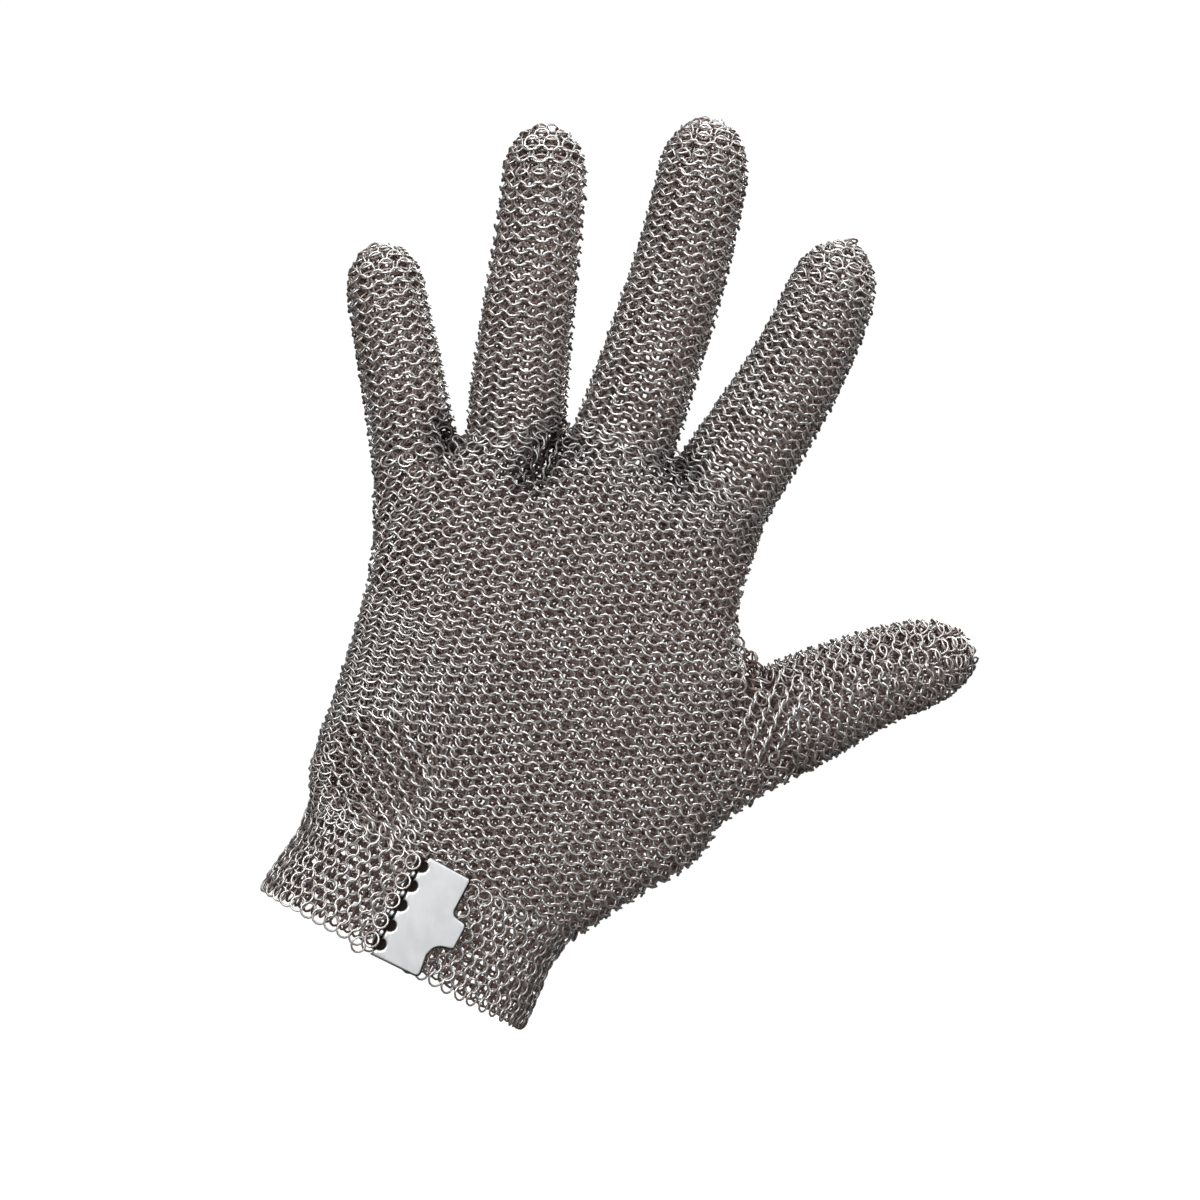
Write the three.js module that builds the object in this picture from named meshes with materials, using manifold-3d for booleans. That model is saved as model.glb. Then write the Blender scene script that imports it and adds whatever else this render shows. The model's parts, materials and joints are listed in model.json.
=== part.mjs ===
// A ring-mesh hand glove in the shape that it has when worn, hollow and open at the wrist.
// Millimetres, +Z towards the fingers, -Y out of the back of the hand, +X towards the thumb.
// The origin is the centre of the wrist opening.
import * as THREE from 'three';
import { mergeVertices } from 'three/addons/utils/BufferGeometryUtils.js';
import Module from 'manifold-3d';

const wasm = await Module();
wasm.setup();

// Ring mesh: one layer of round rings that lie at a slant
const meshThickness = 2.6;
const seamGap = 0.3;

// Palm and back: breadth over the knuckles, height from the wrist opening to the crotches, depth
const palmWidth = 90;
const palmHeight = 120;
const palmDepth = 33;

// Digits: length beyond the seam, and width at the seam
const littleLength = 50;
const ringLength = 73.2;
const middleLength = 79;
const indexLength = 66;
const thumbLength = 48;
const littleWidth = 21.4;
const ringWidth = 23.8;
const middleWidth = 25;
const indexWidth = 26.2;
const thumbWidth = 27.4;
const digitRoundness = 0.92;

// Cuff: the wrist band, which follows the forearm at a slant
const cuffWidth = 70.6;
const cuffDepth = 45;
const cuffHeight = 24;
const forearmLean = 28.3;
const heelStep = 1;
const slitWidth = 4;

// Clasp plate: a folded steel sheet
const plateWidth = 12.2;
const plateHeight = 26.2;
const plateThickness = 2;
const plateEdgeRadius = 0.5;
const plateCorner = 1.2;
const plateLeftShare = 0.37;
const tabReach = 4;
const tabHeight = 7;
const tabPlaceShare = 0.4;
const tabNotch = 1.6;
const scallopDiameter = 2.7;
const scallopPitch = 5.07;
const scallopCount = 5;

// Fineness of the faceted surfaces
const palmSides = 32;
const palmSteps = 14;
const stepsPerFold = 4;
const digitSides = 18;
const digitStep = 8;
const domeAngles = [26, 50, 72];
const innerSidesShare = 0.75;
const smallStep = 1;

const steel = { color: 0xb9bab8, roughness: 0.34, metalness: 1 };
const satinSteel = { color: 0xd6d8d8, roughness: 0.3, metalness: 1 };

// Points on the outline where two digits part, or where a digit's seam meets the outline.
// across: share of palmWidth. up: share of palmHeight. lean: of the line between two digits.
// beyond: how far the seam is cut on past the point, share of the digit's width.
const webs = {
  littleSide: { across: -0.058, up: 0.967, lean: -25, beyond: 0.25 },
  littleRing: { across: 0.182, up: 1.0, lean: -3, beyond: 0 },
  ringMiddle: { across: 0.464, up: 1.036, lean: 12, beyond: 0 },
  middleIndex: { across: 0.738, up: 0.971, lean: 27, beyond: 0 },
  indexSide: { across: 0.967, up: 0.848, lean: 45, beyond: 0.25 },
  thumbSide: { across: 0.954, up: 0.562, lean: 50, beyond: 0 },
  thumbHeel: { across: 1.08, up: 0.37, lean: 84, beyond: 0.25 },
};

// Each digit runs between two webs. Leans are degrees from +Z towards the thumb side.
// root: length inside the palm. tip: width share at the dome. dome: its length, share of width.
// seat and curl: how far the seam and the tip lie towards the palm side, share of palmDepth.
const digits = [
  {
    name: 'little_finger', from: 'littleSide', to: 'littleRing', length: littleLength,
    width: littleWidth, tip: 0.86, dome: 0.5, root: 0.8,
    leans: [-4, -8, -11, -8], seat: 0.0, curl: 0.24, ridges: [],
  },
  {
    name: 'ring_finger', from: 'littleRing', to: 'ringMiddle', length: ringLength,
    width: ringWidth, tip: 0.83, dome: 0.46, root: 0.8,
    leans: [4, 3, 7.5, 1], seat: -0.04, curl: 0.2, ridges: [],
  },
  {
    name: 'middle_finger', from: 'ringMiddle', to: 'middleIndex', length: middleLength,
    width: middleWidth, tip: 0.84, dome: 0.52, root: 0.8,
    leans: [20, 18.5, 16.5, 5], seat: -0.05, curl: 0.2, ridges: [],
  },
  {
    name: 'index_finger', from: 'middleIndex', to: 'indexSide', length: indexLength,
    width: indexWidth, tip: 0.77, dome: 0.5, root: 0.8,
    leans: [32, 32.5, 29, 9], seat: -0.02, curl: 0.22, ridges: [],
  },
  {
    name: 'thumb', from: 'thumbSide', to: 'thumbHeel', length: thumbLength,
    width: thumbWidth, tip: 0.72, dome: 0.5, root: 1.55,
    leans: [49, 66, 69, 98], seat: 0.14, curl: 0.3, ridges: [0.05, 0.14, 0.23],
  },
];
const ridgeHeight = 0.6;

// How a digit's root rounds off inside the palm: place along the root, and width share there
const rootTaper = [
  { along: 0, round: 0.35 },
  { along: 0.12, round: 0.72 },
  { along: 0.35, round: 0.95 },
  { along: 0.65, round: 1 },
];

// Sections across the palm above the cuff: left and right end on the outline (across, up), and
// the reach of the back and of the palm side, shares of palmDepth. arch: how far the middle of the
// section bows up towards the crotches, share of palmHeight. square: 2 is an ellipse.
const palmSections = [
  { left: [-0.204, 0.385], right: [0.64, 0.118], back: 0.53, front: 0.6, arch: 0, square: 2.1 },
  { left: [-0.166, 0.484], right: [0.8, 0.195], back: 0.5, front: 0.6, arch: 0, square: 2.2 },
  { left: [-0.127, 0.572], right: [0.888, 0.335], back: 0.48, front: 0.56, arch: 0, square: 2.3 },
  { left: [-0.088, 0.667], right: [0.938, 0.53], back: 0.47, front: 0.52, arch: 0, square: 2.4 },
  { left: [-0.058, 0.767], right: [0.9, 0.65], back: 0.45, front: 0.47, arch: 0.015, square: 2.4 },
  { left: [-0.05, 0.85], right: [0.934, 0.762], back: 0.42, front: 0.43, arch: 0.035, square: 2.4 },
  { left: [-0.05, 0.92], right: [0.964, 0.838], back: 0.37, front: 0.38, arch: 0.06, square: 2.3 },
  { left: [-0.036, 0.965], right: [0.95, 0.885], back: 0.28, front: 0.29, arch: 0.08, square: 2.2 },
];

// Folds pressed up above the cuff, one foldPitch apart (share of the way from the cuff to the
// crotches). foldStart: place of the first one, and foldSpread: reach to each side of its crest,
// both shares of foldPitch. around: place in degrees, 0 at the thumb side and 270 on the back.
// spread: degrees to each side. rise: share of foldHeight.
const foldHeight = 1.8;
const foldPitch = 0.066;
const foldStart = 0.75;
const foldSpread = 0.3;
const folds = [
  { around: 205, spread: 36, rise: 0.8 },
  { around: 212, spread: 38, rise: 1 },
  { around: 218, spread: 36, rise: 0.8 },
  { around: 224, spread: 32, rise: 0.5 },
];
const foldEnd = (folds.length + 0.5) * foldPitch;

// Cuff sections: along it from the opening, and its width and depth there as shares
const cuffSections = [
  { along: 0, width: 1, depth: 1 },
  { along: 0.33, width: 0.985, depth: 0.975 },
  { along: 0.68, width: 0.955, depth: 0.95 },
  { along: 1, width: 0.985, depth: 0.94 },
];

// Plane directions at a lean from +Z towards the thumb side
function alongLean(degrees) {
  const angle = THREE.MathUtils.degToRad(degrees);
  return new THREE.Vector3(Math.sin(angle), 0, Math.cos(angle));
}

function acrossLean(degrees) {
  const angle = THREE.MathUtils.degToRad(degrees);
  return new THREE.Vector3(Math.cos(angle), 0, -Math.sin(angle));
}

function palmPoint([across, up]) {
  return new THREE.Vector3(across * palmWidth, 0, up * palmHeight);
}

function cuffPoint(across, along) {
  return acrossLean(forearmLean)
    .multiplyScalar(across)
    .addScaledVector(alongLean(forearmLean), along);
}

// One ring of points: a rounded section with its own back and palm-side reach
function sectionRing({ centre, across, back, front, square = 2, arch = 0, swell }, sides) {
  const ring = [];
  for (let k = 0; k < sides; k += 1) {
    const angle = (2 * Math.PI * k) / sides;
    const c = Math.cos(angle);
    const s = Math.sin(angle);
    const x = Math.sign(c) * Math.abs(c) ** (2 / square);
    const y = Math.sign(s) * Math.abs(s) ** (2 / square);
    const out = new THREE.Vector3(0, y * (y > 0 ? front : back), 0).addScaledVector(across, x);
    const rise = swell ? swell(THREE.MathUtils.radToDeg(angle)) : 0;
    out.setLength(out.length() + rise);
    out.z += arch * (1 - x * x);
    ring.push(out.add(centre));
  }
  return ring;
}

// A closed skin over a row of rings, with each end closed to one point
function loft(rings, startPoint, endPoint) {
  const sides = rings[0].length;
  const points = [...rings.flat(), startPoint, endPoint];
  const start = points.length - 2;
  const end = points.length - 1;
  const lastRing = (rings.length - 1) * sides;
  const faces = [];
  for (let k = 0; k < sides; k += 1) {
    const next = (k + 1) % sides;
    for (let r = 0; r < rings.length - 1; r += 1) {
      const low = r * sides;
      const high = low + sides;
      faces.push([low + k, high + next, low + next], [low + k, high + k, high + next]);
    }
    faces.push([start, k, next], [end, lastRing + next, lastRing + k]);
  }
  const geometry = new THREE.BufferGeometry().setFromPoints(points);
  geometry.setIndex(faces.flat());
  return geometry;
}

// The solid inside a closed skin, whichever way round its faces were listed
function toSolid(geometry) {
  const bare = geometry.clone();
  bare.deleteAttribute('normal');
  bare.deleteAttribute('uv');
  const merged = mergeVertices(bare, 1e-4);
  const vertProperties = Float32Array.from(merged.attributes.position.array);
  const triVerts = Uint32Array.from(merged.index.array);
  const corners = [new THREE.Vector3(), new THREE.Vector3(), new THREE.Vector3()];
  let volume = 0;
  for (let t = 0; t < triVerts.length; t += 3) {
    corners.forEach((corner, k) => corner.fromArray(vertProperties, 3 * triVerts[t + k]));
    volume += corners[0].dot(corners[1].clone().cross(corners[2]));
  }
  if (volume < 0) {
    triVerts.reverse();
  }
  return new wasm.Manifold(new wasm.Mesh({ numProp: 3, vertProperties, triVerts }));
}

function toMesh(solid, name, look) {
  const { vertProperties, triVerts } = solid.getMesh();
  const geometry = new THREE.BufferGeometry();
  geometry.setAttribute('position', new THREE.BufferAttribute(vertProperties, 3));
  geometry.setIndex(new THREE.BufferAttribute(triVerts, 1));
  geometry.computeVertexNormals();
  const mesh = new THREE.Mesh(geometry, new THREE.MeshStandardMaterial(look));
  mesh.name = name;
  return mesh;
}

function joined(solids) {
  return solids.reduce((whole, solid) => whole.add(solid));
}

// Palm and back
function foldRise(along) {
  return (around) => folds.reduce((rise, fold, k) => {
    const turn = (around - fold.around) / fold.spread;
    const shift = (along / foldPitch - k - foldStart) / foldSpread;
    return rise + foldHeight * fold.rise * Math.exp(-turn * turn - shift * shift);
  }, 0);
}

function palmSolid(inset) {
  const sides = Math.round(palmSides * (inset ? innerSidesShare : 1));
  const wristReach = cuffHeight + seamGap;
  const cuffTop = cuffSections.at(-1);
  const half = (cuffWidth * cuffTop.width) / 2;
  const depth = (cuffDepth * cuffTop.depth) / 2 / palmDepth;
  const ends = palmSections.map((row) => ({
    ...row,
    left: palmPoint(row.left),
    right: palmPoint(row.right),
  }));
  const wrist = {
    left: cuffPoint(-half, wristReach),
    right: cuffPoint(half + heelStep, wristReach),
    back: depth,
    front: depth,
    arch: 0,
    square: 2,
  };
  const rows = [wrist, ...ends];
  const leftCurve = new THREE.CatmullRomCurve3(rows.map((row) => row.left));
  const rightCurve = new THREE.CatmullRomCurve3(rows.map((row) => row.right));
  const reachCurve = new THREE.CatmullRomCurve3(
    rows.map((row) => new THREE.Vector3(row.back, row.front, row.square)),
  );
  const archCurve = new THREE.CatmullRomCurve3(
    rows.map((row, k) => new THREE.Vector3(k, row.arch, 0)),
  );
  const stationAt = (along) => {
    const left = leftCurve.getPoint(along);
    const right = rightCurve.getPoint(along);
    const reach = reachCurve.getPoint(along);
    const across = right.clone().sub(left).multiplyScalar(0.5);
    const centre = left.clone().add(right).multiplyScalar(0.5);
    across.setLength(across.length() - inset);
    return {
      centre,
      across,
      back: reach.x * palmDepth - inset,
      front: reach.y * palmDepth - inset,
      square: reach.z,
      arch: archCurve.getPoint(along).y * palmHeight,
      swell: inset ? undefined : foldRise(along),
    };
  };
  const reach = 1 - inset / palmHeight;
  const foldSteps = inset ? 2 : Math.round((foldEnd / foldPitch) * stepsPerFold);
  const stations = [];
  for (let step = 0; step < foldSteps; step += 1) {
    stations.push(stationAt((step / foldSteps) * foldEnd));
  }
  for (let step = 0; step <= palmSteps; step += 1) {
    stations.push(stationAt(THREE.MathUtils.lerp(foldEnd, reach, step / palmSteps)));
  }
  if (inset) {
    const mouth = { ...stations[0] };
    mouth.centre = mouth.centre.clone().addScaledVector(alongLean(forearmLean), -smallStep);
    stations.unshift(mouth);
  }
  const rings = stations.map((station) => sectionRing(station, sides));
  const top = stations.at(-1);
  const crest = top.centre.clone();
  crest.z += top.arch;
  return toSolid(loft(rings, stations[0].centre, crest));
}

// Digits
function webPoint(name) {
  return palmPoint([webs[name].across, webs[name].up]);
}

// The lean at a share of the length: root, seam, middle and tip values, joined smoothly
function leanAt(leans, share) {
  const [root, seam, middle, tip] = leans;
  if (share < 0) {
    return THREE.MathUtils.lerp(seam, root, Math.min(1, -share * 2));
  }
  const rise = 4 * middle - 3 * seam - tip;
  const bend = 2 * (seam + tip - 2 * middle);
  return seam + rise * share + bend * share * share;
}

function digitCentre(digit, distance) {
  const point = webPoint(digit.from).add(webPoint(digit.to)).multiplyScalar(0.5);
  const count = Math.max(1, Math.round(Math.abs(distance) / smallStep));
  for (let k = 0; k < count; k += 1) {
    const share = ((k + 0.5) / count) * (distance / digit.length);
    point.addScaledVector(alongLean(leanAt(digit.leans, share)), distance / count);
  }
  const bend = Math.max(0, distance / digit.length) ** 2;
  point.y = palmDepth * THREE.MathUtils.lerp(digit.seat, digit.curl, bend);
  return point;
}

function digitSolid(digit, inset) {
  const { length, width } = digit;
  const domeLength = digit.dome * width;
  const rootLength = digit.root * width;
  const straight = length - domeLength;
  const sides = Math.round(digitSides * (inset ? innerSidesShare : 1));
  const places = rootTaper.map(({ along, round }) => ({ distance: (along - 1) * rootLength, round }));
  const count = Math.round(straight / digitStep);
  for (let k = 0; k <= count; k += 1) {
    places.push({ distance: (straight * k) / count, round: 1 });
  }
  if (!inset) {
    const spacing = digit.ridges.length > 1 ? (digit.ridges[1] - digit.ridges[0]) / 2 : 0;
    digit.ridges.forEach((ridge) => {
      places.push({ distance: ridge * length, round: 1, rise: ridgeHeight });
      places.push({ distance: (ridge + spacing) * length, round: 1 });
    });
    places.sort((a, b) => a.distance - b.distance);
  }
  domeAngles.forEach((degrees) => {
    const angle = THREE.MathUtils.degToRad(degrees);
    const reach = domeLength - inset;
    places.push({ distance: straight + reach * Math.sin(angle), round: Math.cos(angle) });
  });
  const rings = places.map(({ distance, round, rise = 0 }) => {
    const share = THREE.MathUtils.clamp(distance / length, 0, 1);
    const half = (width / 2) * THREE.MathUtils.lerp(1, digit.tip, share) - inset;
    const lean = leanAt(digit.leans, distance / length);
    const centre = digitCentre(digit, distance);
    const across = acrossLean(lean).multiplyScalar(half * round + rise);
    const deep = half * round * digitRoundness + rise;
    return sectionRing({ centre, across, back: deep, front: deep }, sides);
  });
  return toSolid(loft(rings, digitCentre(digit, -rootLength), digitCentre(digit, length - inset)));
}

// The wedge of space beyond a digit's seam, grown or shrunk by a margin
function digitRegion(digit, margin) {
  const left = webPoint(digit.from);
  const right = webPoint(digit.to);
  const seam = right.clone().sub(left).normalize();
  left.addScaledVector(seam, -webs[digit.from].beyond * digit.width);
  right.addScaledVector(seam, webs[digit.to].beyond * digit.width);
  const far = 2 * digit.length;
  const corners = [
    left,
    right,
    right.clone().addScaledVector(alongLean(webs[digit.to].lean), far),
    left.clone().addScaledVector(alongLean(webs[digit.from].lean), far),
  ];
  const flat = corners.map((corner) => new THREE.Vector2(corner.x, corner.z));
  const moved = flat.map((corner, k) => {
    const before = corner.clone().sub(flat[(k + 3) % 4]).normalize();
    const after = flat[(k + 1) % 4].clone().sub(corner).normalize();
    const turn = before.cross(after);
    return corner.clone().addScaledVector(before.sub(after), margin / Math.abs(turn));
  });
  const slab = new THREE.ExtrudeGeometry(new THREE.Shape(moved), {
    depth: 2 * palmDepth,
    bevelEnabled: false,
  });
  slab.translate(0, 0, -palmDepth).rotateX(Math.PI / 2);
  return toSolid(slab);
}

// Cuff and clasp
function cuffTube(inset) {
  const overshoot = inset ? smallStep : 0;
  const rings = cuffSections.map((row, k) => {
    const isFirst = k === 0;
    const isLast = k === cuffSections.length - 1;
    const along = row.along * cuffHeight - (isFirst ? overshoot : 0) + (isLast ? overshoot : 0);
    const deep = (cuffDepth * row.depth) / 2 - inset;
    return sectionRing({
      centre: cuffPoint(0, along),
      across: acrossLean(forearmLean).multiplyScalar((cuffWidth * row.width) / 2 - inset),
      back: deep,
      front: deep,
    }, palmSides);
  });
  const last = cuffHeight + overshoot;
  return toSolid(loft(rings, cuffPoint(0, -overshoot), cuffPoint(0, last)));
}

function cuffBand() {
  const slit = new THREE.BoxGeometry(slitWidth, cuffDepth, 2 * cuffHeight);
  slit.translate(0, -cuffDepth / 2, cuffHeight / 2);
  slit.rotateY(THREE.MathUtils.degToRad(forearmLean));
  return cuffTube(0).subtract(cuffTube(meshThickness)).subtract(toSolid(slit));
}

function plateShape() {
  const left = -plateLeftShare * plateWidth;
  const right = left + plateWidth;
  const radius = scallopDiameter / 2;
  const tabBottom = tabPlaceShare * plateHeight;
  const tabTop = tabBottom + tabHeight;
  const tabEnd = right + tabReach;
  const notchTop = tabBottom - tabNotch / 2;
  const shape = new THREE.Shape();
  shape.moveTo(left, 0);
  shape.lineTo(right - plateCorner, 0);
  shape.quadraticCurveTo(right, 0, right, plateCorner);
  shape.lineTo(right - tabNotch / 2, tabBottom - 3 * tabNotch);
  shape.quadraticCurveTo(right - tabNotch / 3, notchTop, right + tabNotch, notchTop);
  shape.lineTo(tabEnd - plateCorner, tabBottom);
  shape.quadraticCurveTo(tabEnd, tabBottom, tabEnd, tabBottom + plateCorner);
  shape.lineTo(tabEnd, tabTop - plateCorner);
  shape.lineTo(right, tabTop + plateCorner / 2);
  shape.lineTo(right, plateHeight);
  shape.lineTo(left, plateHeight);
  const middle = plateHeight / 2;
  for (let k = scallopCount - 1; k >= 0; k -= 1) {
    const height = middle + (k - (scallopCount - 1) / 2) * scallopPitch;
    shape.lineTo(left, height + radius);
    shape.absarc(left, height, radius, Math.PI / 2, -Math.PI / 2, true);
  }
  shape.closePath();
  return shape;
}

function claspPlate() {
  const plate = new THREE.ExtrudeGeometry(plateShape(), {
    depth: plateThickness - 2 * plateEdgeRadius,
    bevelThickness: plateEdgeRadius,
    bevelSize: plateEdgeRadius,
    bevelOffset: -plateEdgeRadius,
    bevelSegments: 2,
    curveSegments: 5,
  });
  plate.rotateX(Math.PI / 2);
  plate.translate(0, -cuffDepth / 2 - seamGap - plateEdgeRadius, 0);
  plate.rotateY(THREE.MathUtils.degToRad(forearmLean));
  return toSolid(plate);
}

const palmOuter = palmSolid(0);
const palmInner = palmSolid(meshThickness);
const digitOuters = digits.map((digit) => digitSolid(digit, 0));
const digitInners = digits.map((digit) => digitSolid(digit, meshThickness));
const hollow = joined([palmInner, ...digitInners]);
const beyondSeams = joined(digits.map((digit) => digitRegion(digit, seamGap / 2)));
const hand = joined([palmOuter, ...digitOuters]).subtract(hollow).subtract(beyondSeams);
const stalls = digits.map((digit, k) => {
  const region = digitRegion(digit, -seamGap / 2);
  return digitOuters[k].intersect(region).subtract(hollow);
});

const glove = new THREE.Group();
glove.add(toMesh(hand, 'hand_mesh', steel));
stalls.forEach((stall, k) => glove.add(toMesh(stall, digits[k].name, steel)));
glove.add(toMesh(cuffBand(), 'cuff_band', steel));
glove.add(toMesh(claspPlate(), 'clasp_plate', satinSteel));

export default glove;
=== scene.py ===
import json
import math

import bmesh
import bpy
import numpy as np
from mathutils import Matrix, Vector
from mathutils.bvhtree import BVHTree


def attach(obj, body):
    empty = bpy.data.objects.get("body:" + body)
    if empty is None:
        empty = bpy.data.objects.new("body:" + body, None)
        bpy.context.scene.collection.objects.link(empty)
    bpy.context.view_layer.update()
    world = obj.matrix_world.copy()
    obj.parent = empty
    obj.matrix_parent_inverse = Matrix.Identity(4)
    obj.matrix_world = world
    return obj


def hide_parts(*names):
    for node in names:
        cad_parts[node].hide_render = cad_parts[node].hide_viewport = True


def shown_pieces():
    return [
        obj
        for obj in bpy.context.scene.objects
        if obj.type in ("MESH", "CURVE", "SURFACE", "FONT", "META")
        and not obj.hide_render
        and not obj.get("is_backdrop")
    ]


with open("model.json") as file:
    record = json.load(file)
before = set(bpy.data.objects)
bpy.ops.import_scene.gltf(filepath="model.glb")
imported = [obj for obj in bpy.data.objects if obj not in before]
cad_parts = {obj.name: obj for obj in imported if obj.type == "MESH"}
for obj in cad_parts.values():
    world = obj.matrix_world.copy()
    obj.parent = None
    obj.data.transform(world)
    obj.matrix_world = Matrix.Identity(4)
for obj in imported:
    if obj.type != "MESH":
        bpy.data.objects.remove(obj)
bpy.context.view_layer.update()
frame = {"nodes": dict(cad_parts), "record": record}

dice = np.random.default_rng(11)

# Ring mesh sizes, in metres
MM = 0.001
WIRE = 0.54 * MM
RING_RADIUS = 1.8 * MM
RING_SIDES = 10
CUFF_SIDES = 12
GATHERED_WIRE = 0.68 * MM
WIRE_SIDES = 5
WALL = 2.6 * MM
LINK_REACH = 2.8 * MM
RING_TILT = math.radians(36)
TILT_SPREAD = math.radians(4)
TURN_SPREAD = math.radians(5)
PLACE_SPREAD = 0.07 * MM

# Weave of each area: rings around a digit with the steps between its rows in millimetres,
# and the pitch within a row elsewhere
DIGITS = {
    "little_finger": {"around": 12, "root_step": 2.6, "tip_step": 2.75},
    "ring_finger": {"around": 13, "root_step": 2.15, "tip_step": 3.1},
    "middle_finger": {"around": 13, "root_step": 2.4, "tip_step": 2.6},
    "index_finger": {"around": 13, "root_step": 2.25, "tip_step": 2.35},
    "thumb": {"around": 16, "root_step": 2.6, "tip_step": 2.8},
}
PALM_EXTRA = 1
ROOT_SHARES = (0.2, 0.55)
CROWDED_TILT = math.radians(8)
ROW_STEPS = (2.0 * MM, 3.1 * MM)
BACK_PITCH = 4.9 * MM
PALM_PITCH = 4.3 * MM
CUFF_PITCH = 4.8 * MM
CUFF_COLUMNS = 52
CUFF_GATHERED_COLUMNS = 92
CUFF_TILT = math.radians(23)
CUFF_GAP = (-5.8 * MM, 2 * MM)
CUFF_SHIFTS = (0.3, 0.8)

# Where the cuff's rings rise to meet the clasp
SEAT_LIFT = 1.15 * MM
SEAT_MIDDLE = 4 * MM
SEAT_REACH = 12 * MM

# Clasp: its bites, leaves and teeth in millimetres, and the painted light and shade of its faces
BITES = (23.3, 18.25, 13.2, 7.9, 3.0)
BITE_LINE = -3.9
BITE_RADIUS = 1.35
FRONT_LEAF = {"near": -24.7, "far": -23.35, "rim": 0.55, "segments": 4}
BACK_LEAF = {"near": -23.3, "far": -22.85, "rim": 0.2, "segments": 2}
TOOTH_PLACE = (-4.8, -24.0)
TOOTH_RADIUS = 0.62
TOOTH_SHAPE = (1.1, 1.0, 1.5)
SHADED_LEAF_DEPTH = -23.33 * MM
RIM_TURN = 0.3
RIM_PAINTED_SHADE = 0.12
EDGE_DIMMED_HIGHLIGHT = 0.5
FRONT_FACING = 0.9

# Rings that hang on the clasp
HOOK_LINE = -6.2 * MM
HOOK_DEPTH = 25.1 * MM
LINK_LINE = -8.2 * MM
LINK_DEPTH = 24.4 * MM
HOOK_TILT = math.radians(24)

# The hand's rows: their lean and bow, the gathered palm side, and the folds at the wrist
HAND_LEAN = math.radians(26)
HAND_CENTRE = 4 * MM
SIDE_REACH = 0.36
GATHERED_FROM = 0.3
SIDE_OVERLAP = 0.08
ROW_BOW = 3.0
GATHERED_STEP = 1.6 * MM
GATHERED_TILT = math.radians(35)
GATHERED_LOOSENESS = 1.6
FOLD_RISE = 26 * MM
FOLD_TOP = 56 * MM
FOLD_START = 11 * MM
FOLD_WIDTH = 27 * MM
FOLD_PRESS = 0.3

# Painted shade in the crotches between the digits: place in x and z, and reach, in millimetres
CROTCH_SHADE_SPOTS = (
    (12.5, 122.0, 4.5),
    (38.5, 120.0, 5.5),
    (32.5, 113.0, 4.5),
    (67.0, 114.0, 5.0),
)

# Painted shade along the sides: how dark it is, and how far it reaches round
PAINTED_SIDE_SHADE = 0.5
SIDE_FACING = 0.65

# Ropes of gathered rings: middle in x and z, lean, half width and half length
GATHERS = (
    (88.5, 56.0, -67, 6.5, 12.0),
    (83.5, 68.0, -97, 4.0, 7.5),
    (-2.5, 44.5, 66, 12.0, 13.5),
    (36.0, 116.5, -62, 3.5, 6.5),
    (12.5, 119.5, 72, 3.0, 5.5),
)
ROPE_PITCH = 3.3 * MM
ROPE_STEP = 1.6 * MM
ROPE_TILT = math.radians(50)
ROPE_TWIST = math.radians(24)
GATHER_SHARE = 0.9
RAY_START = 60 * MM

# Seams between the areas
STRAY_DEPTH = -2 * MM
CROTCH_REACH = 16 * MM
CROTCH_PRESS = 0.82
SEAM_OVERLAP = 0.6 * MM
SHEET_SPLIT = 75 * MM
WALL_SLACK = 1.8 * MM

# Fineness of the guide surfaces
TIGHTEST_PITCH = 4.15 * MM
DOME_PITCH = 4.2 * MM
DOME_REACH = 5 * MM
DOME_STATIONS = 24
TIP_MARGIN = 0.15 * MM
FIT_MARGIN = 7 * MM
FIT_STEP = 2 * MM
DIGIT_REACH = 17 * MM
STATION = 1.0 * MM
SEAM_ROWS = 25
HAND_RAYS = 540
DIGIT_RAYS = 120
CUFF_RAYS = 360
SMOOTHINGS = 4

Y_AXIS = np.array([0.0, 1.0, 0.0])
FOREARM = -np.array(frame["record"]["mounts"][0]["axis"])
FOREARM = FOREARM / np.linalg.norm(FOREARM)
FOREARM_LEAN = -math.atan2(FOREARM[0], FOREARM[2])


def unit(vectors):
    return vectors / np.maximum(np.linalg.norm(vectors, axis=-1, keepdims=True), 1e-12)


def sideways(forward):
    """The direction across the hand, towards the thumb, for a direction along it."""
    return unit(np.array([forward[2], 0.0, -forward[0]]))


def corners_of(names):
    """All vertices of some CAD nodes."""
    points = [[v.co[:] for v in frame["nodes"][name].data.vertices] for name in names]
    return np.concatenate([np.array(p) for p in points])


def tree_of(names):
    """A ray-casting tree over some CAD nodes."""
    shape = bmesh.new()
    for name in names:
        shape.from_mesh(frame["nodes"][name].data)
    bmesh.ops.remove_doubles(shape, verts=shape.verts, dist=1e-6)
    tree = BVHTree.FromBMesh(shape)
    shape.free()
    return tree


# Guide surfaces: grids of points on the outer wall, a row for each station along a part
def filled(reach):
    """A grid of reaches with each missing value taken from its neighbours."""
    known = ~np.isnan(reach)
    rows = np.arange(len(reach))
    for k in range(reach.shape[1]):
        good = known[:, k]
        if good.any() and not good.all():
            reach[:, k] = np.interp(rows, rows[good], reach[good, k])
    return np.where(np.isnan(reach), np.nanmean(reach), reach)


def filled_round(reach):
    """The same, from the neighbours around each section."""
    count = reach.shape[1]
    for row in reach:
        good = np.flatnonzero(~np.isnan(row))
        row[:] = np.interp(np.arange(count), good, row[good], period=count)
    return reach


def outer_wall(tree, centres, spokes, least, fill=filled):
    """Points where rays from outside, along each spoke, first meet the wall."""
    start = 1.35
    reach = np.full(spokes.shape[:2], np.nan)
    for m, centre in enumerate(centres):
        for k, spoke in enumerate(spokes[m]):
            length = float(np.linalg.norm(spoke))
            origin = Vector(centre + start * spoke)
            hit = tree.ray_cast(origin, Vector(-spoke), start * length)
            if hit[0] is None:
                continue
            share = start - hit[3] / length
            if share > least:
                reach[m, k] = share
    return centres[:, None, :] + fill(reach)[:, :, None] * spokes


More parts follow.
